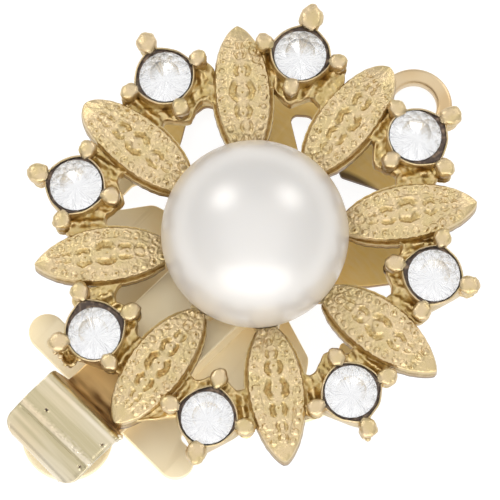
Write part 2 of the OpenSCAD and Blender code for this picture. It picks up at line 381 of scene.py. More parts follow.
# painted reflection: the neck is an amber copy of the sheet, standing in for gold reflected in gold
# under the casting; its deep brown is painted shade at the foot of the tab
neckGoldMaterial = sheetGold(
    "neckGold", "amber", "amber", "deepBrown", recessOf, (2, 0.6, 1), 0.4, 0.003, 0.55)
brushedGoldMaterial = sheetGold(
    "brushedGold", "cream", "tan", "bandShade", recessOf, (7, 0.2, 3), 0.28, 0.004)
# Roughness, depth of the lumps, depth of the grain
castGoldMaterial = castGold("castGold", "cast", "olive", "umber", "soot", 0.25, 0.024, 0.021)
cupGoldMaterial = castGold("cupGold", "rose", "olive", "umber", "soot", 0.27, 0.04, 0.02)
# painted light: the webs are a paler straw copy of the cast gold, with a lighter deepest colour, to
# offset the shade they lie in under the leaves
webGoldMaterial = castGold("webGold", "straw", "olive", "olivewood", "umber", 0.30, 0.02, 0.012)
oxideMaterial = oxideBlack()
print("finishes ready")


# Mesh helpers; points are in millimetres

def lumpAt(x, y, z):
    # smooth noise between -1 and 1
    return noise.noise(Vector((x, y, z)))


def lumpRound(angle, spread, z, phase=0.0):
    # the same on a circle, so that it closes
    return lumpAt(math.cos(angle) * spread, math.sin(angle) * spread + phase, z)


def ramp(x, start, length):
    # 0 up to start, then a slope, then 1
    return np.clip((x - start) / length, 0, 1)


def hump(x, middle, width):
    # 1 in the middle, falling off to both sides
    return np.exp(-((x - middle) / width) ** 2)


def onCircle(radius, degrees):
    angle = math.radians(degrees)
    return radius * math.cos(angle), radius * math.sin(angle)


def plainMesh(name, points, faces):
    mesh = bpy.data.meshes.new(name)
    mesh.from_pydata([tuple(p * mm for p in point) for point in points], [], faces)
    return mesh


def weld(mesh):
    # closes a lathe at its axis and turns every face outwards
    shape = bmesh.new()
    shape.from_mesh(mesh)
    bmesh.ops.remove_doubles(shape, verts=shape.verts, dist=0.0005 * mm)
    bmesh.ops.recalc_face_normals(shape, faces=shape.faces)
    shape.to_mesh(mesh)
    shape.free()
    return mesh


def meshFrom(name, points, faces):
    return weld(plainMesh(name, points, faces))


def meshPoints(mesh):
    flat = np.empty(3 * len(mesh.vertices), np.float32)
    mesh.vertices.foreach_get("co", flat)
    return flat.reshape(-1, 3) / mm


def setRecess(mesh, values):
    attribute = mesh.attributes.new("recess", "FLOAT", "POINT")
    attribute.data.foreach_set("value", np.clip(values, 0, 1).astype(np.float32).ravel())


def addPiece(name, mesh, body, slot, replaced, materials, smoothAngle):
    piece = addObject(name, mesh)
    kinds = [face.material_index for face in mesh.polygons]
    mesh.materials.clear()
    for material in materials:
        mesh.materials.append(material)
    mesh.polygons.foreach_set("material_index", kinds)
    if smoothAngle:
        mesh.shade_smooth()
        mesh.set_sharp_from_angle(angle=math.radians(smoothAngle))
    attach(piece, body)
    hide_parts(replaced)
    return piece


def addCasting(name, mesh, materials, smoothAngle):
    addPiece(name, mesh, "clasp", "gold_casting", "flower_casting", materials, smoothAngle)


def addSheetPiece(*details):
    # flat faces stay flat beside their rounded edges
    addPiece(*details).modifiers.new("flat faces", "WEIGHTED_NORMAL").keep_sharp = True


def gridFaces(rows, columns, joinRows=False, joinColumns=True):
    # quads over a grid of points; a join runs from the last row or column back to the first
    return [(i * columns + j, i * columns + (j + 1) % columns,
             (i + 1) % rows * columns + (j + 1) % columns, (i + 1) % rows * columns + j)
            for i in range(rows if joinRows else rows - 1)
            for j in range(columns if joinColumns else columns - 1)]


def loftFaces(rings, around):
    # closed loops one after another, capped at both ends
    last = (rings - 1) * around
    caps = [tuple(range(around - 1, -1, -1)), tuple(range(last, last + around))]
    return gridFaces(rings, around) + caps


def lathe(name, profile, steps, wobble=None):
    # turned round Z: the profile runs up from the axis and back to it, or is a closed loop
    points = []
    for r, z in profile:
        for j in range(steps):
            angle = 2 * math.pi * j / steps
            reach = r * (wobble(angle, z) if wobble and r > 0 else 1)
            points.append((reach * math.cos(angle), reach * math.sin(angle), z))
    return meshFrom(name, points, gridFaces(len(profile), steps, profile[0][0] > 0))


def ballShell(radius):
    profile = [(0, -radius), *(onCircle(radius, a) for a in range(-75, 76, 15)), (0, radius)]
    return lathe("ball", profile, 20)


def bakedMesh(item, name):
    # the mesh with its modifiers applied; the object goes
    graph = bpy.context.evaluated_depsgraph_get()
    mesh = bpy.data.meshes.new_from_object(item.evaluated_get(graph))
    mesh.name = name
    bpy.data.objects.remove(item)
    return mesh


def workObject(mesh, matrix=None, material=None):
    if material:
        mesh.materials.clear()
        mesh.materials.append(material)
    if matrix:
        mesh.transform(matrix)
    return addObject("work", mesh)


def moved(x, y, z):
    return Matrix.Translation((x * mm, y * mm, z * mm))


def fuse(name, shells):
    # one skin round several closed shells
    others = bpy.data.collections.new("others")
    for shell in shells[1:]:
        others.objects.link(shell)
    union = shells[0].modifiers.new("union", "BOOLEAN")
    union.operation = "UNION"
    union.operand_type = "COLLECTION"
    union.collection = others
    union.solver = "EXACT"
    union.material_mode = "TRANSFER"
    mesh = bakedMesh(shells[0], name)
    for shell in shells[1:]:
        bpy.data.objects.remove(shell)
    bpy.data.collections.remove(others)
    return mesh


def roundCorners(corners, steps=7):
    # corners are (x, y, radius); a radius of 0 keeps the plain point
    points = []
    count = len(corners)
    for i, (x, y, r) in enumerate(corners):
        here = Vector((x, y))
        if r == 0:
            points.append((x, y))
            continue
        a = (Vector(corners[i - 1][:2]) - here).normalized()
        b = (Vector(corners[(i + 1) % count][:2]) - here).normalized()
        half = a.angle(b) / 2
        centre = here + (a + b).normalized() * r / math.sin(half)
        start, stop = here + a * r / math.tan(half) - centre, here + b * r / math.tan(half) - centre
        for k in range(steps + 1):
            arm = (start * (steps - k) + stop * k).normalized() * r
            points.append(tuple(centre + arm))
    return points


def bevelledPlate(name, outlines, thickness, edge):
    # filled outlines with holes, extruded and rounded along every edge
    curve = bpy.data.curves.new(name, "CURVE")
    curve.dimensions = "2D"
    curve.fill_mode = "BOTH"
    curve.extrude = (thickness / 2 - edge) * mm
    curve.bevel_depth = edge * mm
    curve.bevel_resolution = 2
    curve.offset = -edge * mm
    for outline in outlines:
        spline = curve.splines.new("POLY")
        spline.points.add(len(outline) - 1)
        for point, (x, y) in zip(spline.points, outline):
            point.co = (x * mm, y * mm, 0, 1)
        spline.use_cyclic_u = True
    mesh = bakedMesh(addObject(name, curve), name)
    work = workObject(mesh, moved(0, 0, thickness / 2))
    work.modifiers.new("weld", "WELD").merge_threshold = 0.002 * mm
    return bakedMesh(work, name)


# Back plate with the ring and the box

plate = {
    "radius": 9.4,
    "thickness": 0.5,
    "edge": 0.09,
    "neckHalfWidth": 4.2,
    "barFront": -11.85,
    "barBack": -9.85,
    "barHalfLength": 5.95,
    "barCorner": 0.98,
    "armHalfWidth": 1.1,
    "armEnd": 10.6,
    "ringX": 12.15,
    "ringRadius": 2.09,
    "ringHole": 1.25,
    "ringHeight": 0.85,
    "ringEdge": 0.2,
}
# corners of the openings: x, y, radius
sideHole = [
    (-0.9, 3.0, 0.5), (-1.8, 6.0, 0.8), (-3.9, 7.5, 0.3), (-1.9, 7.6, 0.5),
    (0, 6.6, 0.25), (1.9, 7.6, 0.5), (2.8, 8.15, 0.5), (4.1, 8.0, 0.5),
    (4.9, 6.6, 0.4), (3.3, 5.4, 0.6), (0.9, 3.2, 0.5)]
rearHole = [
    (4.3, 0, 0.5), (7.0, -4.45, 0.35), (7.75, -3.6, 0.5), (7.45, -1.8, 1),
    (6.55, 0, 0.25), (7.45, 1.8, 1), (7.75, 3.6, 0.5), (7.0, 4.45, 0.35)]
box = {
    "mouth": -8.2,
    "rear": 3.2,
    "halfWidth": 2.4,
    "top": 2.8,
    "sheet": 0.35,
    "foot": 0.45,
    "edge": 0.06,
    "outerCorner": 0.12,
    "innerCorner": 0.15,
    "lipHeight": 0.2,
    "lipLength": 0.4,
    "overlap": 0.05,
}
# the cut edges of the openings towards the ring are darker
darkenedCutEdge = {
    "strength": 0.85,
    "fromX": 0.5,
    "within": 9.2,  # from the middle of the plate
    "low": 0.02,
    "high": 0.48,
}


def prism(name, ends, section):
    # a closed section in Y and Z, run along X
    points = [(x, y, z) for x in ends for y, z in section]
    return meshFrom(name, points, loftFaces(2, len(section)))


def block(name, ends, half, low, high):
    return prism(name, ends, ((-half, low), (-half, high), (half, high), (half, low)))


def washer(name, hole, rim, top, edge):
    corners = [(hole, 0, edge), (rim, 0, edge), (rim, top, edge), (hole, top, edge)]
    return lathe(name, roundCorners(corners, 4), 96)


def plateOutline():
    radius, half, arm = plate["radius"], plate["neckHalfWidth"], plate["armHalfWidth"]
    upper = [
        (plate["armEnd"], arm, 0),
        (math.sqrt(radius ** 2 - arm ** 2), arm, 0.5),
        *((*onCircle(radius, a), 0) for a in np.linspace(12, 149, 70)),
        (-math.sqrt(radius ** 2 - half ** 2), half, 0.4),
        (plate["barBack"], half, 0.3),
        (plate["barBack"], plate["barHalfLength"], plate["barCorner"]),
        (plate["barFront"], plate["barHalfLength"], plate["barCorner"])]
    lower = [(x, -y, r) for x, y, r in reversed(upper)]
    return roundCorners(upper + lower)


def boxShell():
    w, t, top, foot = box["halfWidth"], box["sheet"], box["top"], box["foot"]
    outer, inner = box["outerCorner"], box["innerCorner"]
    section = roundCorners([
        (-w, foot, 0), (-w, top, outer), (w, top, outer), (w, foot, 0),
        (w - t, foot, 0), (w - t, top - t, inner), (t - w, top - t, inner), (t - w, foot, 0)], 5)
    return prism("box", (box["mouth"], box["rear"]), section)


def lipShell():
    # sunk a little into the box, so that the two fuse
    w = box["halfWidth"] - box["sheet"] + box["overlap"]
    under = box["top"] - box["sheet"]
    low, high = under - box["lipHeight"], under + box["overlap"]
    ends = (box["mouth"] + 0.02, box["mouth"] + box["lipLength"])
    return block("lip", ends, w, low, high)


def bevelShell(mesh, width):
    work = workObject(mesh)
    bevel = work.modifiers.new("bevel", "BEVEL")
    bevel.width = width * mm
    bevel.segments = 2
    bevel.limit_method = "ANGLE"
    bevel.angle_limit = math.radians(50)
    return bakedMesh(work, mesh.name)


def makePlate():
    mirrored = [(x, -y, r) for x, y, r in reversed(sideHole)]
    outlines = [plateOutline(), *(roundCorners(hole) for hole in (sideHole, mirrored, rearHole))]
    sheet = bevelledPlate("plate", outlines, plate["thickness"], plate["edge"])
    ring = washer("ring", plate["ringHole"], plate["ringRadius"], plate["ringHeight"], plate["ringEdge"])
    mesh = fuse("backPlate", [
        workObject(sheet, None, sheetGoldMaterial),
        workObject(ring, moved(plate["ringX"], 0, 0), ringGoldMaterial),
        workObject(bevelShell(boxShell(), box["edge"]), None, sheetGoldMaterial),
        workObject(lipShell(), None, sheetGoldMaterial)])
    x, y, z = meshPoints(mesh).T
    inSheet = (z > darkenedCutEdge["low"]) & (z < darkenedCutEdge["high"])
    towardRing = (x > darkenedCutEdge["fromX"]) & (np.hypot(x, y) < darkenedCutEdge["within"])
    setRecess(mesh, darkenedCutEdge["strength"] * (inSheet & towardRing))
    addSheetPiece("backPlate", mesh, "clasp", "gold_sheet", "base_plate",
                  [sheetGoldMaterial, ringGoldMaterial], 25)


makePlate()
print("back plate made")


# Folded spring tongue: lower leaf with the loop, upper leaf with the thumb tab

tongue = {
    "sheet": 0.4,
    "edge": 0.07,
    "width": 3.9,
    "low": 0.58,
    "foldX": -1.6,
    "foldRadius": 0.45,  # to the middle of the sheet
    "foldStop": 86,
    "loopX": -14.1,
    "loopRadius": 2.45,
    "loopHole": 1.3,
    "loopThickness": 0.5,
    "loopEdge": 0.12,
    "stripFromLoop": 1.7,
}
thumb = {
    "width": 5.1,
    "neckTop": 2.0,
    "top": 4.25,
    "riserX": -12.0,
    "innerX": -12.6,
    "ridgeX": -14.6,
    "outerX": -16.4,
    "drop": 0.65,
    "endZ": 2.9,
    "cornerRadius": 0.7,
    "catchX": -7.7,
    "catchHalfLength": 0.3,
    "catchLow": 1.85,
    "catchHigh": 2.2,
    "catchInset": 0.4,
    "catchEdge": 0.04,
    "knobRadius": 0.17,
    "knobInset": (0.08, 0.02, 0.22),  # off the inner corner of the tab
    "fineStep": 0.045,
    "coarseStep": 0.15,
}


def directionAt(path, i):
    before, after = path[max(i - 1, 0)], path[min(i + 1, len(path) - 1)]
    return Vector((after[0] - before[0], after[1] - before[1])).normalized()


def stripLoft(name, path, widths, side=1, across=1, relief=None):
    # rounded strip whose middle follows path in X and Z; side says which way its top faces
    edge = tongue["edge"]
    high = tongue["sheet"] / 2 - edge
    points = []
    for i, ((x, z), width) in enumerate(zip(path, widths)):
        along = directionAt(path, i)
        up = Vector((-along.y, along.x)) * side
        reach = width / 2 - edge
        loop = [(-reach, high, a) for a in (180, 150, 120, 90)]
        loop += [(y, high, 90) for y in np.linspace(-reach, reach, across + 1)[1:-1]]
        loop += [(reach, high, a) for a in (90, 60, 30, 0)]
        loop += [(reach, -high, a) for a in (0, -30, -60, -90)]
        loop += [(-reach, -high, a) for a in (-90, -120, -150, -180)]
        for centreY, centreH, a in loop:
            dy, dh = onCircle(edge, a)
            y = centreY + dy
            lift = relief(x, y, width / 2) if relief and centreH > 0 else 0
            place = Vector((x, z)) + up * (centreH + dh + lift)
            points.append((place.x, y, place.y))
    return meshFrom(name, points, loftFaces(len(path), len(points) // len(path)))


def makeTongue():
    low, fold = tongue["low"] + tongue["sheet"] / 2, tongue["foldRadius"]
    start = tongue["loopX"] + tongue["stripFromLoop"]
    path = [(x, low) for x in np.linspace(start, tongue["foldX"], 12)]
    for a in np.linspace(-90, tongue["foldStop"], 22)[1:]:
        dx, dz = onCircle(fold, a)
        path.append((tongue["foldX"] + dx, low + fold + dz))
    strip = stripLoft("strip", path, [tongue["width"]] * len(path))
    loop = washer("loop", tongue["loopHole"], tongue["loopRadius"],
                  tongue["loopThickness"], tongue["loopEdge"])
    place = moved(tongue["loopX"], 0, tongue["low"])
    mesh = fuse("tongueLeaf", [workObject(strip), workObject(loop, place)])
    addSheetPiece("tongueLeaf", mesh, "tongue", "gold_sheet", "tongue_leaf", [sheetGoldMaterial], 25)


def thumbWidth(x):
    full, neck, corner = thumb["width"], tongue["width"], thumb["cornerRadius"]
    start = thumb["riserX"] - 0.1
    if x > start:
        return neck
    width = neck + (full - neck) * min(1, (start - x) / 0.3) ** 0.6
    inset = corner - (x - thumb["outerX"])
    if inset > 0:
        width -= 2 * (corner - math.sqrt(max(corner ** 2 - inset ** 2, 0)))
    return width


# Across the tab: distance from its inner edge, height of the surface, strength of the painted shade,
# which drops to 0 for the painted highlights on the inner edge and the ridge
tabProfile = (
    (0.0, 0.0, 0.6), (0.3, 0.0, 0.5), (0.38, 0.03, 0.0), (0.52, 0.03, 0.0), (0.62, 0.0, 0.3),
    (0.8, -0.03, 0.4), (0.95, -0.03, 0.25), (1.3, -0.04, 0.5), (1.85, -0.04, 0.55), (2.05, 0.03, 0.3),
    (2.12, 0.07, 0.0), (2.32, 0.05, 0.0), (2.42, -0.05, 0.85), (2.55, -0.04, 0.65), (2.85, -0.02, 0.25),
    (3.1, -0.02, 0.42), (3.5, 0.0, 0.15), (3.9, 0.0, 0.0))
tabPits = ((1.71, 1.22), (0.91, -2.19), (2.57, -2.18))  # from the inner edge, across
tabLook = {
    "pitRadius": 0.08,
    "pitDepth": 0.12,
    "crustHeight": 0.05,
    "crest": (2.08, 0.13),  # middle and half width of the rough ridge
    "specks": (2.0, 0.12),
    "rimHeight": 0.03,
    "rimWidth": 0.2,
    "bandShade": 1.8,
}
neckShade = {
    "startX": -10.75,
    "slant": 0.14,  # it starts farther in on one side
    "length": 1.0,
    "top": 3.6,
    "strength": 0.57,
    "streaks": 0.95,
}


def pitAt(x, y):
    # small dark pits in the plating of the tab, 1 in the middle of one
    across = thumb["innerX"] - x
    reach = tabLook["pitRadius"] ** 2
    return sum(math.exp(-((across - a) ** 2 + (y - b) ** 2) / reach) for a, b in tabPits)


def tabChart(x, y, column):
    # the bands run a little askew and waver
    wander = 0.02 * lumpAt(0, y * 1.5, 8) - 0.03 * y
    places, values = [row[0] for row in tabProfile], [row[column] for row in tabProfile]
    return np.interp(thumb["innerX"] - x + wander, places, values)


def tabRelief(x, y, half):
    # rough ridge across the tab between brushed bands, low rims at its sides
    if x > thumb["innerX"]:
        return 0
    inside = half - abs(y)
    height = tabChart(x, y, 1) * min(1, inside / 0.3)
    crust = lumpAt(x * 7, y * 6, 0) + 0.7 * lumpAt(x * 15, y * 13, 3)
    streak = 0.012 * lumpAt(x * 5, y * 0.25, 5) + 0.006 * lumpAt(x * 11, y * 0.4, 9)
    rim = max(0, 1 - inside / tabLook["rimWidth"]) ** 0.5 * tabLook["rimHeight"]
    rough = tabLook["crustHeight"] * hump(thumb["innerX"] - x, *tabLook["crest"]) * crust
    return height + rough + streak + rim - tabLook["pitDepth"] * pitAt(x, y)


def thumbShadeAndSpecks(points):
    # painted shade on the neck, darkest at the foot of the tab; painted shade and painted highlight in
    # the bands of the tab, with brushed streaks and dark specks
    values = []
    for x, y, z in points:
        if x < thumb["innerX"]:
            streak = lumpAt(x * 6, y * 0.3, 5) + 0.5 * lumpAt(x * 14, y * 0.5, 9)
            speck = max(0, lumpAt(x * 8, y * 7, 4)) * hump(thumb["innerX"] - x, *tabLook["specks"])
            # painted shade bands with painted highlights, streaked by the brushing
            bandShade = tabLook["bandShade"] * tabChart(x, y, 2) * (1 + 0.4 * streak)
            values.append(bandShade + 0.05 * streak + 1.5 * speck)
        else:
            # painted shade and reflection of the riser on the neck
            start = neckShade["startX"] - neckShade["slant"] * y
            depth = min(1, max(0, (start - x) / neckShade["length"])) * (z < neckShade["top"])
            streak = lumpAt(x * 2.2, y * 0.6, 2) + 0.5 * lumpAt(x * 6, y * 1.1, 7)
            values.append(depth * (neckShade["strength"] + neckShade["streaks"] * streak))
    return np.array(values)


def makeThumb():
    t = tongue["sheet"]
    foldTop = tongue["low"] + t + 2 * tongue["foldRadius"]
    corners = [
        (tongue["foldX"] - 0.03, foldTop, 0), (box["mouth"], thumb["neckTop"], 3),
        (thumb["riserX"], thumb["neckTop"], 0.7), (thumb["innerX"], thumb["top"], 0.4),
        (thumb["ridgeX"], thumb["top"], 2), (thumb["outerX"], thumb["top"] - thumb["drop"], 0.45),
        (thumb["outerX"], thumb["endZ"], 0)]
    top = roundCorners(corners, 10)
    fine = [top[0]]
    for a, b in zip(top, top[1:]):
        step = thumb["fineStep"] if b[0] < thumb["riserX"] else thumb["coarseStep"]
        pieces = max(1, round(math.dist(a, b) / step))
        fine += [(a[0] + (b[0] - a[0]) * k / pieces, a[1] + (b[1] - a[1]) * k / pieces)
                 for k in range(1, pieces + 1)]
    # set back by half the sheet, so that the corners above lie on the top face
    middle = []
    for i, (x, z) in enumerate(fine):
        along = directionAt(fine, i)
        middle.append((x - along.y * t / 2, z + along.x * t / 2))
    widths = [thumbWidth(x) for x, _ in fine]
    strip = stripLoft("thumb", middle, widths, -1, 60, tabRelief)
    ends = (thumb["catchX"] - thumb["catchHalfLength"], thumb["catchX"] + thumb["catchHalfLength"])
    half = tongue["width"] / 2 - thumb["catchInset"]
    catch = block("catch", ends, half, thumb["catchLow"], thumb["catchHigh"])
    dx, dy, dz = thumb["knobInset"]
    knobPlace = moved(thumb["innerX"] + dx, dy - thumb["width"] / 2, thumb["top"] - dz)
    mesh = fuse("thumbLeaf", [
        workObject(strip),
        workObject(bevelShell(catch, thumb["catchEdge"])),
        workObject(ballShell(thumb["knobRadius"]), knobPlace)])
    setRecess(mesh, thumbShadeAndSpecks(meshPoints(mesh)))
    for face in mesh.polygons:
        x, y, _ = face.center / mm
        kind = 1 if x < thumb["innerX"] + 0.2 else 0
        face.material_index = 2 if pitAt(x, y) > 0.4 else kind
    addSheetPiece("thumbLeaf", mesh, "thumb", "gold_sheet", "thumb_leaf",
                  [neckGoldMaterial, brushedGoldMaterial, oxideMaterial], 35)


makeTongue()
makeThumb()
print("tongue made")


# Cast leaves

leaf = {
    "firstTurn": 8.6,
    "extraTurn": (-0.3, -3.4, -2.5, -1.6, 0.1, -0.3, 0.4, 2.0),
    "tipRadius": (12.04, 11.92, 11.87, 11.85, 12.39, 12.14, 12.01, 12.08),
    "bluntness": (0.50, 0.60, 0.50, 0.76, 0.60, 0.70, 0.76, 0.68),  # lower is blunter
    "brown": (0.65, 0.5, 0.6, 0.6, 1.0, 0.8, 0.5, 0.5),  # strength of the wash in the hollows
    "rootRadius": 4.93,
    "halfWidth": 1.46,
    "tipSpan": 3.8,  # from the tip to the widest place
    "rootSpan": 4.0,
    "crestZ": 5.33,
    "crestRadius": 8.0,
    "camber": 0.07,
    "arcRadius": 12.7,
    "depth": 1.2,
    "edge": 0.11,
    "beadInset": 0.33,
    "beadRadius": 0.27,
    "beadPitch": 0.54,
    "beadSwell": 0.02,  # of the edge beside a bead
    "firstBead": 0.95,
    "cordInset": 0.66,
    "flange": 0.16,
    "flangeDrop": 0.5,
    "wallLean": 0.05,
    "sideShade": (0.2, 0.5, 0.9, 0.8, 0.4, 0.1, 0.7, 1.0, 1.0),  # painted shade down the side wall and under the flange's edge, darkest in the groove at the wall's foot
    "stations": 180,
    "across": 80,
}
# heights and sizes of what stands on a leaf
skin = {
    "cord": 0.025,
    "cordHalfWidth": 0.06,
    "net": 0.03,
    "netSize": 0.3,
    "bead": 0.055,
    "beadGroove": 0.045,
    "beadHole": 0.08,
    "holeRadius": 0.06,
    "domeLength": 1.1,  # how much longer than wide
    "domeRim": 0.03,
    "domeHole": 0.07,
    "disc": (0.03, 0.04),  # the second number grows with the dome
    "hollow": (0.03, 0.12),
    "shellRibs": 15,
    "darkest": 0.84,
    "warp": 0.07,
    "tipFolds": 0.02,
    "grain": 0.012,
    "waves": 0.035,
}
# Domes along the middle: distance from the tip, groove radius, how brown the groove is
leafDomes = (
    (1.25, 0.24, 0.3), (1.80, 0.32, 0.5), (2.62, 0.50, 0.85), (3.78, 0.66, 1.0),
    (4.95, 0.50, 0.9), (5.75, 0.34, 0.5), (6.4, 0.26, 0.3))


def turnOf(kind, index):
    # where a leaf or stone stands round the pearl, in degrees
    return kind["firstTurn"] + 45 * index + kind["extraTurn"][index]


def leafHalfWidth(d, bluntness):
    widest = leaf["tipSpan"]
    u = np.where(d < widest, (widest - d) / widest, (d - widest) / leaf["rootSpan"])
    power = np.where(d < widest, bluntness, 0.8)
    return leaf["halfWidth"] * np.clip(1 - u ** 2, 1e-6, 1) ** power


def beadPlaces(length, bluntness, rng):
    d = np.linspace(leaf["firstBead"], length, 400)
    inset = leafHalfWidth(d, bluntness) - leaf["beadInset"]
    run = np.concatenate([[0], np.cumsum(np.hypot(np.diff(d), np.diff(inset)))])
    places = []
    for side in (-1, 1):
        s = rng.uniform(0, 0.25)
        while s < run[-1]:
            along, across = np.interp(s, run, d), np.interp(s, run, inset)
            places.append((along, side * across, rng.uniform(0.88, 1.08)))
            s += leaf["beadPitch"] * rng.uniform(0.93, 1.06)
    return places


def softNoise(x, y, size, seed):
    points = zip(x.ravel() / size, y.ravel() / size)
    return np.array([lumpAt(a, b, seed) for a, b in points]).reshape(x.shape)


def cellNet(x, y, size, seed):
    # thin raised seams between uneven cells, 1 on a seam
    seams = np.empty(x.size)
    for k, (a, b) in enumerate(zip(x.ravel() / size, y.ravel() / size)):
        distances = noise.voronoi(Vector((a, b, seed)))[0]
        seams[k] = distances[1] - distances[0]
    return np.exp(-(seams.reshape(x.shape) / 0.16) ** 2)


def leafRelief(d, t, beads, half, rng, seed, washAndShade):
    # height over the plain leaf and how much brown each place holds
    slope = np.gradient(half[:, 0], d[:, 0])[:, None]
    inside = (half - np.abs(t)) / np.sqrt(1 + slope ** 2)
    body = ramp(d, 0.6, 0.5)
    warpD, warpT = (skin["warp"] * softNoise(d, t, 0.3, seed + k) for k in (2, 3))
    strength = np.clip(0.75 + 0.9 * softNoise(d, t, 0.5, seed + 6), 0.15, 1.2)
    net = cellNet(d + warpD, t + warpT, skin["netSize"], seed) * body
    grain = softNoise(d, t, 0.075, seed) + 0.6 * softNoise(d, t, 0.16, seed + 1)
    cord = body * hump(inside, leaf["cordInset"], skin["cordHalfWidth"])
    height = skin["cord"] * cord * strength + skin["net"] * net - 0.015 * body
    recess = 0.14 * body * (1 - net)
    for bd, bt, size in beads:
        away = np.hypot(d + warpD - bd, t + warpT - bt) / (leaf["beadRadius"] * size)
        dome = np.clip(1 - (away / 0.62) ** 2, 0, 1) ** 0.7
        groove = hump(away, 0.8, 0.2) * strength
        hole = hump(np.hypot(d - bd - 0.05, t - bt), 0, skin["holeRadius"]) * rng.choice((0, 0, 0.5, 1))
        height += skin["bead"] * dome - skin["beadGroove"] * groove - skin["beadHole"] * hole
        brown = np.maximum(0.3 * groove * rng.uniform(0.3, 1), hole)
        recess = np.maximum(recess * (1 - 0.8 * dome), brown)
    for dd, radius, brown in leafDomes:
        size = radius * rng.uniform(0.92, 1.06)
        dd += rng.uniform(-0.06, 0.06)
        run, aside = (d + warpD - dd) / skin["domeLength"], t + warpT - rng.uniform(-0.07, 0.07)
        away = np.hypot(run, aside) / size
        angle = np.arctan2(aside, run)
        floor = np.clip(1.15 - away, 0, 0.1) / 0.1
        height = height * (1 - floor) + floor * (0.012 + 0.02 * net)
        recess = recess * (1 - 0.6 * floor)
        # hollows on the two flanks, ribbed like a shell, with a plain disc between them
        flank = ramp(np.abs(np.sin(angle)), 0.35, 0.4)
        hollow = np.exp(-(np.abs(away - 0.76) / 0.25) ** 3) * flank
        ribs = 0.5 + 0.5 * np.cos(skin["shellRibs"] * angle + seed)
        ribbed = 1 - 0.15 * ribs
        disc = np.clip(1 - (away / 0.55) ** 4, 0, 1)
        discHeight, hollowDepth = (a + b * size for a, b in (skin["disc"], skin["hollow"]))
        height += discHeight * disc - hollowDepth * hollow * ribbed
        height += skin["domeRim"] * hump(away, 1.06, 0.1)
        hole = hump(np.hypot(d - dd - 0.1, aside), 0, skin["holeRadius"]) * (radius > 0.4)
        height -= skin["domeHole"] * hole
        brown = np.minimum(skin["darkest"], 1.15 * washAndShade * brown * hollow * ribbed)
        brown = np.maximum(brown, skin["darkest"] * hole)
        recess = np.maximum(recess, brown)
    # smooth tip with a few soft folds, granular skin on the rest
    turnAway = np.arctan2(t, d + 0.6)
    height += (1 - body) * skin["tipFolds"] * softNoise(turnAway, d * 0.1, 0.2, seed + 5)
    height += (0.003 + skin["grain"] * body) * grain + skin["waves"] * softNoise(d, t, 0.6, seed + 9)
    recess += 0.16 * body * np.clip(-grain, -0.4, 1)
    return height, np.clip(recess, 0, 1)


def leafTop(s):
    run = s - leaf["crestRadius"]
    return leaf["crestZ"] - leaf["arcRadius"] + np.sqrt(leaf["arcRadius"] ** 2 - run ** 2)


def leafSide(half, edgeZ, crownZ, flange):
    # wall, narrow flange that ties the leaf into the casting, and its edge down to the underside
    depth, shelfZ, foot = leaf["depth"], crownZ - leaf["flangeDrop"], half + leaf["wallLean"]
    wall = [(half + leaf["wallLean"] * w, edgeZ + (shelfZ - edgeZ) * w) for w in (0.3, 0.65, 1.0)]
    shelf = [(foot + flange * q, shelfZ + rise) for q, rise in ((0.35, 0.0), (0.7, 0.025), (0.92, 0.02))]
    lip = [(foot + flange, shelfZ - 0.05), (foot + flange, crownZ - depth + 0.06),
           (foot + flange * 0.8, crownZ - depth)]
    return wall + shelf + lip


def makeLeaf(index):
    rng = random.Random(40 + index)
    bluntness = leaf["bluntness"][index]
    tip = leaf["tipRadius"][index]
    length = tip - leaf["rootRadius"]
    stations, across = leaf["stations"], leaf["across"]
    d = (0.012 + (length - 0.012) * np.linspace(0, 1, stations) ** 1.12)[:, None]
    beads = beadPlaces(length, bluntness, rng)
    share = np.linspace(-1, 1, across)[None, :]
    half = leafHalfWidth(d, bluntness)
    # the edge swells a little beside each bead
    swell = np.zeros((stations, 2))
    for bd, bt, _ in beads:
        side = int(bt > 0)
        swell[:, side] = np.maximum(swell[:, side], leaf["beadSwell"] * hump(d[:, 0], bd, 0.16))
    t = half * share + np.where(share > 0, swell[:, 1:], -swell[:, :1]) * np.abs(share) ** 6
    dFull = np.repeat(d, across, 1)
    height, recess = leafRelief(dFull, t, beads, half, rng, index * 20, leaf["brown"][index])
    edge = np.minimum(leaf["edge"], half * 0.5)
    q = ramp(np.abs(half * share), half - edge, edge)
    drop = edge * (1 - np.sqrt(1 - q ** 2))
    fade = 1 - 0.85 * q
    crownZ = leafTop(tip - d)
    top = crownZ + leaf["camber"] * (1 - share ** 2) + height * fade - drop
    # the flange is narrow at the tip and at the root
    flange = np.clip((d - 2.3) / 1.3, 0.03, 1) * np.clip((d[-1] + 0.4 - d) / 1.2, 0.4, 1)
    flange = flange * leaf["flange"]
    right = leafSide(t[:, -1:], top[:, -1:], crownZ, flange)
    left = leafSide(-t[:, :1], top[:, :1], crownZ, flange)
    loops = [np.stack([dFull, t, top], 2)]
    loops += [np.stack([d, y, z * np.ones_like(d)], 2) for y, z in right]
    loops += [np.stack([d, -y, z * np.ones_like(d)], 2) for y, z in reversed(left)]
    loops = np.concatenate(loops, 1)
    run, aside, z = loops.reshape(-1, 3).T
    turn = math.radians(turnOf(leaf, index))
    s = tip - run
    x, y = s * math.cos(turn) - aside * math.sin(turn), s * math.sin(turn) + aside * math.cos(turn)
    points = np.stack([x, y, z], 1).tolist()
    name = f"leaf{index + 1}"
    mesh = plainMesh(name, points, loftFaces(stations, loops.shape[1]))
    # painted shade on the side wall and flange
    sideShade = list(leaf["sideShade"])
    depth = np.tile(np.array([0.0] * across + sideShade + sideShade[::-1]), (stations, 1))
    depth[:, :across] = recess * fade
    setRecess(mesh, depth)
    addCasting(name, mesh, [castGoldMaterial], 60)


for index in range(8):
    makeLeaf(index)
print("leaves made")


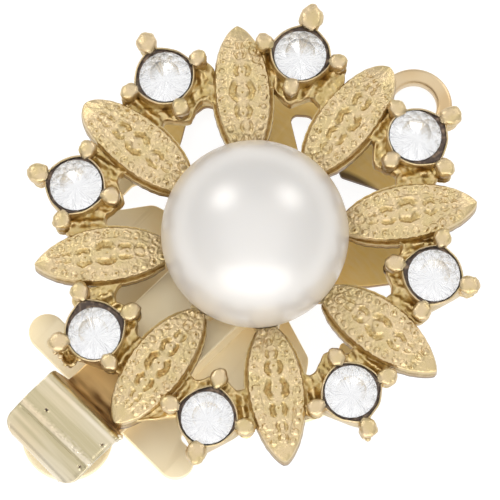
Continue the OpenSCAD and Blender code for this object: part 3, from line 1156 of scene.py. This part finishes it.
# Stone cups with their prongs, and the webs that tie them to the leaves

stone = {
    "firstTurn": 31.1,
    "extraTurn": (0.8, -1.9, -2.1, 1.2, 0.1, 0.5, 1.9, 2.4),
    "radiusOut": (10.32, 10.06, 9.98, 10.03, 10.17, 9.85, 9.76, 10.24),
    "z": 5.55,
    "tilt": 5,
    "girdle": 1.4,
}
cup = {
    "rimRadius": 1.5,  # inner edge of the rim between the prongs
    "rimWidth": 0.11,
    "footReach": 1.5,
    "depth": 1.55,
    "prongReach": 2.07,
    "outerProng": (0.68, 0.60, 0.54, 0.55, 0.60, 0.54, 0.54, 0.57),
    "innerProng": (0.49, 0.51, 0.49),
    "turn": (-2, -2.3, -2.4, -9.1, -2.6, -7.2, -3, 5),
    # how far each cup lies off its stone: outward, sideways
    "shift": ((0.15, -0.02), (0.10, 0.03), (0.06, 0.02), (-0.19, -0.27),
              (-0.11, -0.03), (0.06, 0.03), (-0.12, 0.02), (0.16, -0.28)),
    "rimLumps": 0.03,
    "wallLumps": 0.07,
    "pull": 0.6,  # how far the rim is drawn out towards a prong, and over how many degrees
    "pullAngle": 17,
    "steps": 112,
}
prong = {
    "long": (1.02, 1.12),  # stretched away from the stone
    "narrow": (0.94, 1),
    "ripple": 0.03,
    "lumps": 0.17,
    "fineLumps": 0.08,
    "nubRadius": 0.17,
    "steps": 32,
}
# a curled remnant of the casting beside one outer prong, hollow and dark inside
remnant = {
    "index": 3,
    "middle": (1.80, 0.22),
    "top": -0.58,
    "tilt": 12,
    "size": 1.18,
    "dents": 0.25,
    "hollowRadius": 0.36,
    "brown": 0.86,
    "lumps": ((0.36, -0.30, 0.19), (-0.44, 0.40, 0.18), (0.36, 0.22, 0.14)),  # off its middle, radius
}
web = {
    "innerX": -2.2,
    "outerX": 0.15,
    "innerHalf": 1.9,
    "widening": 0.45,
    "top": -0.86,
    "foldHeight": 0.24,
    "foldWidth": 0.2,
    "ribSpacing": 0.42,
    "ribHeight": 0.06,
    "innerFold": 0.08,
    "lumps": 0.11,
    "rows": 46,
    "columns": 84,
    # one web runs on outside its prong to the tip of the next leaf
    "bridgedIndex": 4,
    "bridgeReach": 0.6,
    "bridgeWidening": 0.75,
    "bridgeDrop": 0.28,
}


def stonePlace(index):
    turn = Matrix.Rotation(math.radians(turnOf(stone, index)), 4, "Z")
    return (turn @ moved(stone["radiusOut"][index], 0, stone["z"])
            @ Matrix.Rotation(math.radians(stone["tilt"]), 4, "Y"))


def prongPlaces(index):
    shiftX, shiftY = cup["shift"][index]
    places = [onCircle(cup["prongReach"], 90 * k + cup["turn"][index]) for k in range(4)]
    return [(shiftX + x, shiftY + y) for x, y in places]


def rimReach(index, angles):
    # round rim, a little off centre, drawn out towards each prong
    shiftX, shiftY = (0.5 * s for s in cup["shift"][index])
    along = shiftX * np.cos(angles) + shiftY * np.sin(angles)
    aside = shiftX * np.sin(angles) - shiftY * np.cos(angles)
    circle = along + np.sqrt(cup["rimRadius"] ** 2 - aside ** 2)
    reach = circle.copy()
    for x, y in prongPlaces(index):
        away = np.abs((angles - math.atan2(y, x) + math.pi) % (2 * math.pi) - math.pi)
        pull = cup["pull"] * np.clip(math.hypot(x, y) - 0.42 - circle, 0, None)
        reach += pull * hump(away, 0, math.radians(cup["pullAngle"]))
    uneven = np.array([lumpRound(a, 2.2, index * 3) for a in angles])
    return np.maximum(reach + cup["rimLumps"] * uneven, stone["girdle"] + 0.025)


def footReach(index, angles):
    # square foot with round corners under the prongs
    turned = angles - math.radians(cup["turn"][index] + 45)
    return cup["footReach"] / (np.abs(np.cos(turned)) ** 5 + np.abs(np.sin(turned)) ** 5) ** 0.2


def cupShell(index):
    steps = cup["steps"]
    angles = np.linspace(0, 2 * math.pi, steps, endpoint=False)
    inner = rimReach(index, angles)
    outer = inner + cup["rimWidth"]
    foot = footReach(index, angles)
    ledge = np.full_like(angles, stone["girdle"] + 0.012)
    deep = cup["depth"]
    outside = [
        (foot * 0, -deep), (foot * 0.97, -deep), (foot, -deep + 0.05), (foot * 0.8 + outer * 0.2, -1.1),
        (foot * 0.45 + outer * 0.55, -0.7), (foot * 0.15 + outer * 0.85, -0.35), (outer, -0.1),
        (outer - 0.005, 0.0), (outer - 0.035, 0.04), (inner + 0.045, 0.045), (inner + 0.008, 0.01)]
    inside = [
        (inner, -0.06), (inner * 0.7 + ledge * 0.3, -0.13), (inner * 0.3 + ledge * 0.7, -0.14),
        (ledge, -0.13), (ledge * 0.97, -0.19), (ledge * 0.6, -1.0), (ledge * 0, -1.42)]
    points = []
    for reach, z in outside + inside:
        # only the middle of the wall is lumpy
        lumps = 0.0 if z > -0.2 or z < -1.2 else cup["wallLumps"]
        for r, a in zip(reach, angles):
            r += lumps * lumpRound(a, 4, z * 3 + index)
            points.append((r * math.cos(a), r * math.sin(a), z))
    mesh = plainMesh("cup", points, gridFaces(len(outside + inside), steps))
    for face in mesh.polygons:
        face.material_index = 1 if face.index >= len(outside) * steps else 0
    mesh.materials.append(cupGoldMaterial)
    mesh.materials.append(oxideMaterial)
    return weld(mesh)


def prongShell(rng, r):
    # ribbed stem under a nugget with a worn, nearly flat top
    profile = [(0, -1.4), (0.42, -1.4), (0.45, -1.15), (0.36, -1.05), (0.44, -0.93), (0.43, -0.82),
               (0.35, -0.72), (0.42, -0.62), (0.41, -0.52), (0.35, -0.44), (0.40, -0.36)]
    for a in (-30, -12, 6, 22, 36, 50, 64, 78):
        c, s = onCircle(1, a)
        profile.append((r * c ** 0.45, 0.04 + (0.35 * s if s > 0 else 0.5 * s)))
    profile.append((0, 0.392))
    phase = rng.uniform(0, 6)

    def dent(angle, z):
        lump = prong["lumps"] * lumpRound(angle, 1.5, z * 2, phase)
        fine = prong["fineLumps"] * lumpRound(angle, 4, z * 6, phase)
        return 1 + prong["ripple"] * math.sin(3 * angle + phase) + lump + fine

    return lathe("prong", profile, prong["steps"], dent)


def remnantShells():
    profile = [(0, -0.55), (0.28, -0.55), (0.40, -0.3), (0.45, -0.05), (0.41, 0.05), (0.33, 0.03),
               (0.27, -0.08), (0.2, -0.22), (0, -0.26)]

    def dent(angle, z):
        return 1 + remnant["dents"] * lumpRound(angle, 1.6, z * 3)

    bowl = lathe("remnant", profile, 32, dent)
    x, y = remnant["middle"]
    tilted = (moved(x, y, remnant["top"]) @ Matrix.Rotation(math.radians(remnant["tilt"]), 4, "X")
              @ Matrix.Scale(remnant["size"], 4))
    shells = [workObject(bowl, tilted, cupGoldMaterial)]
    for dx, dy, radius in remnant["lumps"]:
        place = moved(x + dx, y + dy, remnant["top"] - 0.08)
        shells.append(workObject(ballShell(radius), place, cupGoldMaterial))
    return shells


def cupShadeAndPatches(mesh, index):
    # painted shade below the rim and round the foot of each nugget, strongest on the side towards the
    # pearl, with brown patches; brown inside the remnant's hollow
    x, y, z = meshPoints(mesh).T
    patch = np.array([lumpAt(a * 2.5, b * 2.5, c * 2.5) for a, b, c in zip(x, y, z)])
    # painted shade lower on the cup, mostly on its inward side
    shadeBelowRim = ramp(-z, 0.1, 0.45) * (0.6 + 0.7 * patch)
    inward = np.clip(0.6 - x / 2.5, 0, 1)
    brown = shadeBelowRim * (0.12 + 0.88 * inward) + 0.25 * np.clip(patch, 0, 1)
    if index == remnant["index"]:
        middleX, middleY = remnant["middle"]
        away = np.hypot(x - middleX, y - middleY) / remnant["hollowRadius"]
        below = np.clip((remnant["top"] + 0.02 - z) / 0.1, 0, 1)
        brown = np.maximum(brown, remnant["brown"] * np.exp(-away ** 4) * below)
    return brown


def makeCup(index):
    rng = random.Random(70 + index)
    shells = [workObject(cupShell(index))]
    places = prongPlaces(index)
    for k, (x, y) in enumerate(places):
        stretch = Matrix.Diagonal((rng.uniform(*prong["long"]), rng.uniform(*prong["narrow"]), 1, 1))
        lean = Matrix.Rotation(math.atan2(y, x), 4, "Z") @ stretch
        radius = (cup["innerProng"][k - 1] if k else cup["outerProng"][index]) * rng.uniform(0.95, 1.05)
        shell = prongShell(rng, radius)
        place = moved(x, y, rng.uniform(-0.04, 0.02)) @ lean
        shells.append(workObject(shell, place, cupGoldMaterial))
    x, y = places[0]
    nub = moved(x + 0.42, y + rng.uniform(-0.2, 0.2), -0.85)
    shells.append(workObject(ballShell(prong["nubRadius"]), nub, cupGoldMaterial))
    if index == remnant["index"]:
        shells += remnantShells()
    name = f"stoneCup{index + 1}"
    mesh = fuse(name, shells)
    setRecess(mesh, cupShadeAndPatches(mesh, index))
    mesh.transform(stonePlace(index))
    addCasting(name, mesh, [cupGoldMaterial, oxideMaterial], 50)


def webSurface(x, y, seed):
    # folds that run in from the side prongs, ribbed across, with a lumpy inner edge
    fold = np.abs(y) - (2.02 + 0.32 * x)
    rib = hump(fold, 0, web["foldWidth"]) * np.clip(1.1 + 0.4 * x, 0, 1)
    phase = seed + 5 * softNoise(x, y, 0.7, seed + 7)
    rings = 0.5 + 0.5 * np.cos(2 * math.pi * x / web["ribSpacing"] + phase)
    second = hump(np.abs(y), 1.05 + 0.1 * x, 0.16)
    uneven = softNoise(x, y, 0.45, seed) + 0.5 * softNoise(x, y, 0.2, seed + 4)
    lift = rib * (web["foldHeight"] + web["ribHeight"] * rings)
    lift = lift + web["innerFold"] * second + web["lumps"] * uneven
    brown = 0.42 - 0.35 * rib * (0.4 + 0.6 * rings) - 0.3 * second - 0.5 * uneven
    return lift, brown


def makeWeb(index):
    rows, columns = web["rows"], web["columns"]
    seed = 300 + index * 10
    u = np.linspace(-1, 1, columns)[None, :]
    v = np.linspace(0, 1, rows)[:, None]
    side = ramp(np.abs(u), 0.72, 0.28)
    tongues = 0.28 * hump(np.abs(u), 0.55, 0.2) - 0.35 * hump(u, 0, 0.26)
    inner = web["innerX"] + tongues - 0.5 * side ** 2 + 0.06 * softNoise(u * 2, u * 0, 0.3, seed)
    bridge = ramp(-u, 0.45, 0.25) * (index == web["bridgedIndex"])
    outer = web["outerX"] - 0.75 * side ** 2 * (1 - bridge) + (web["bridgeReach"] + 0.45 * side) * bridge
    x = inner + v * (outer - inner)
    halfSpan = web["innerHalf"] + web["widening"] * (x - web["innerX"])
    y = u * halfSpan - web["bridgeWidening"] * bridge * v ** 2
    lift, brown = webSurface(x, y, seed)
    lift = lift - web["bridgeDrop"] * bridge * v
    border = ramp(v, 0, 0.07) * ramp(1 - v, 0, 0.07)
    brown = brown * (1 - 0.6 * bridge * v) * border
    z = web["top"] + lift * (0.3 + 0.7 * border) - 0.12 * (1 - np.sqrt(1 - (1 - border) ** 2))
    # it sinks into the wall of the cup, clear of the stone
    floor = -cup["depth"]
    z = floor + 0.03 + (z - floor - 0.03) * ramp(np.hypot(x, y), 1.2, 0.15)
    points = np.stack([x, y, z], 2).reshape(-1, 3).tolist()
    faces = gridFaces(rows, columns, False, False)
    # walls down from the four edges and a flat underside
    loop = ([(0, j) for j in range(columns)] + [(i, columns - 1) for i in range(1, rows)]
            + [(rows - 1, j) for j in range(columns - 2, -1, -1)]
            + [(i, 0) for i in range(rows - 2, 0, -1)])
    points += [(x[i, j], y[i, j], floor) for i, j in loop]
    count, base = len(loop), rows * columns
    for n, (i, j) in enumerate(loop):
        nextI, nextJ = loop[(n + 1) % count]
        faces.append((i * columns + j, nextI * columns + nextJ, base + (n + 1) % count, base + n))
    faces.append(tuple(range(base, base + count)))
    name = f"stoneWeb{index + 1}"
    mesh = meshFrom(name, points, faces)
    setRecess(mesh, np.concatenate([brown.ravel(), np.full(count, 0.6)]))
    mesh.transform(stonePlace(index))
    addCasting(name, mesh, [webGoldMaterial], 60)


for index in range(8):
    makeCup(index)
    makeWeb(index)
print("cups made")


# Bowl of the casting that the pearl is glued in

seat = {
    "pearlRadius": 5.0,
    "centreZ": 6.15,
    "gap": 0.06,
    "wall": 0.2,
    "floorZ": 2.8,
    "flatZ": 3.0,
    "rimZ": 3.35,
    "lugZ": 4.55,
    "lugHalfAngle": 7.5,
    "lugSlope": 1.5,  # degrees over which a lug rises
    "pearlGap": 0.03,  # under the flat of the pearl
    "steps": 240,
}


def makeSeat():
    # under each leaf the wall of the bowl rises as a lug
    steps, floorZ, flatZ = seat["steps"], seat["floorZ"], seat["flatZ"]
    inner = seat["pearlRadius"] + seat["gap"]
    outer = inner + seat["wall"]
    turns = [turnOf(leaf, k) for k in range(8)]

    def arc(radius, start, stop):
        heights = start + (stop - start) * np.linspace(0, 1, 12)
        return [(math.sqrt(radius ** 2 - (seat["centreZ"] - z) ** 2), z) for z in heights]

    points = []
    for j in range(steps):
        angle = 360 * j / steps
        away = min(abs((angle - turn + 180) % 360 - 180) for turn in turns)
        lug = 1 - ramp(away, seat["lugHalfAngle"], seat["lugSlope"])
        rim = seat["rimZ"] + (seat["lugZ"] - seat["rimZ"]) * lug
        column = [(0, floorZ), *arc(outer, floorZ, rim), *arc(inner, rim, flatZ), (0, flatZ)]
        points += [(*onCircle(r, angle), z) for r, z in column]
    mesh = meshFrom("pearlSeat", points, gridFaces(steps, len(column), True, False))
    addCasting("pearlSeat", mesh, [cupGoldMaterial], 40)


makeSeat()
print("seat made")


# Round-cut stones

cut = {
    "sides": 12,
    "table": 0.82,
    "tableZ": 0.42,
    "star": 1.12,
    "starZ": 0.28,
    "girdleZ": -0.05,
    "lower": 0.45,
    "lowerZ": -0.86,
    "culetZ": -1.22,
    "lean": 2,  # degrees, either way
}


def makeStone(index, crystal, foil):
    rng = random.Random(90 + index)
    n = cut["sides"]
    spin = rng.uniform(0, math.pi / n)

    def ring(count, r, z, shift=0.0):
        angles = [spin + 2 * math.pi * (k + shift) / count for k in range(count)]
        return [(r * math.cos(a), r * math.sin(a), z) for a in angles]

    points = ring(n, cut["table"], cut["tableZ"])
    points += ring(n, cut["star"], cut["starZ"], 0.5)
    points += ring(2 * n, stone["girdle"], 0)
    points += ring(2 * n, stone["girdle"], cut["girdleZ"])
    points += ring(n, cut["lower"], cut["lowerZ"], 0.5)
    points.append((0, 0, cut["culetZ"]))
    star, top, low, deep, culet = n, 2 * n, 4 * n, 6 * n, 7 * n
    faces = [tuple(range(n))]
    for k in range(n):
        after, before = (k + 1) % n, (k - 1) % n
        faces.append((after, k, star + k))
        faces.append((k, star + before, top + 2 * k, star + k))
        faces.append((star + k, top + 2 * k, top + 2 * k + 1))
        faces.append((star + k, top + 2 * k + 1, top + 2 * after))
    for k in range(2 * n):
        after = (k + 1) % (2 * n)
        faces.append((top + k, low + k, low + after, top + after))
    backStart = len(faces)
    for k in range(n):
        after, before = (k + 1) % n, (k - 1) % n
        faces.append((low + 2 * k, deep + k, low + 2 * k + 1))
        faces.append((low + 2 * k + 1, deep + k, low + 2 * after))
        faces.append((low + 2 * k, deep + before, culet, deep + k))
    name = f"rhinestone{index + 1}"
    mesh = plainMesh(name, points, faces)
    mesh.polygons.foreach_set("material_index", [0 if k < backStart else 1 for k in range(len(faces))])
    lean = math.radians(rng.uniform(-cut["lean"], cut["lean"]))
    mesh.transform(stonePlace(index) @ Matrix.Rotation(lean, 4, "X"))
    addPiece(name, mesh, "clasp", "stone", f"rhinestone_{index + 1}", [crystal, foil], 0)


crystalMaterial, foilMaterial = clearCrystal(), silverFoil()
for index in range(8):
    makeStone(index, crystalMaterial, foilMaterial)
print("stones made")


def makePearl():
    # three-quarter pearl: round, with a flat ground where it sits in the bowl
    radius, centre, flatZ = seat["pearlRadius"], seat["centreZ"], seat["flatZ"] + seat["pearlGap"]
    start = math.degrees(math.asin((flatZ - centre) / radius))
    profile = [(0, flatZ), (2.6, flatZ)]
    for a in np.linspace(start, 89, 72):
        r, rise = onCircle(radius, a)
        profile.append((r, centre + rise))
    profile.append((0, centre + radius))
    mesh = lathe("pearl", profile, 128)
    addPiece("pearlBall", mesh, "clasp", "pearl", "pearl", [pearlCoat()], 40)


makePearl()
print("pearl made")


# Floor and soft boxes

light = {
    "upperLeft": {"direction": (-0.03, 0.77, 0.64), "distance": 400, "size": (180, 180), "power": 0.25},
    "upperRight": {"direction": (0.81, -0.04, 0.58), "distance": 400, "size": (180, 180), "power": 0.20},
    "near": {"direction": (-0.69, -0.70, 0.25), "distance": 420, "size": (680, 360), "power": 1.25},
    "front": {"direction": (-0.163, -0.166, 0.972), "distance": 450, "size": (800, 800), "power": 0.5},
}
room = {
    "top": (1, 1, 1),
    "horizon": (0.70, 0.70, 0.70),
    "strength": 0.85,
}
paper = {
    "halfSize": 1500,
    "z": -0.02,  # just clear of the underside
    "colours": ((0.24, 0.24, 0.24), (0.26, 0.26, 0.26)),
    "roughness": 0.9,
    "glow": 0.90,
    "grainSize": 30,
}


def addFloor():
    size, low = paper["halfSize"], paper["z"]
    points = [(-size, -size, low), (size, -size, low), (size, size, low), (-size, size, low)]
    mesh = meshFrom("floor", points, [(0, 1, 2, 3)])
    material, tree, shader = newMaterial("floorPaper")
    feed(tree, shader, {
        "Base Color": mixColours(tree, noiseAt(tree, paper["grainSize"], 2), *paper["colours"]),
        "Roughness": paper["roughness"],
        "Emission Color": (1, 1, 1, 1),
        "Emission Strength": paper["glow"]})
    mesh.materials.append(material)
    addObject("floor", mesh)


def addLights():
    for name, setting in light.items():
        data = bpy.data.lights.new(name, "AREA")
        data.shape = "ELLIPSE"
        data.size, data.size_y = (side * mm for side in setting["size"])
        data.energy = setting["power"]
        lamp = addObject(name, data)
        toward = Vector(setting["direction"]).normalized()
        lamp.location = toward * setting["distance"] * mm
        lamp.rotation_euler = toward.to_track_quat("Z", "Y").to_euler()
    world = bpy.data.worlds.new("room")
    world.use_nodes = True
    bpy.context.scene.world = world
    tree = world.node_tree
    height = addNode(tree, "ShaderNodeSeparateXYZ", {0: placeIn(tree, "Generated")}).outputs["Z"]
    feed(tree, tree.nodes["Background"], {
        "Color": mixColours(tree, mapTo(tree, height, 0, 1, 0, 0.8), room["horizon"], room["top"]),
        "Strength": room["strength"]})


addFloor()
addLights()
bpy.context.scene.view_settings.view_transform = "Standard"
print("floor and lights placed")
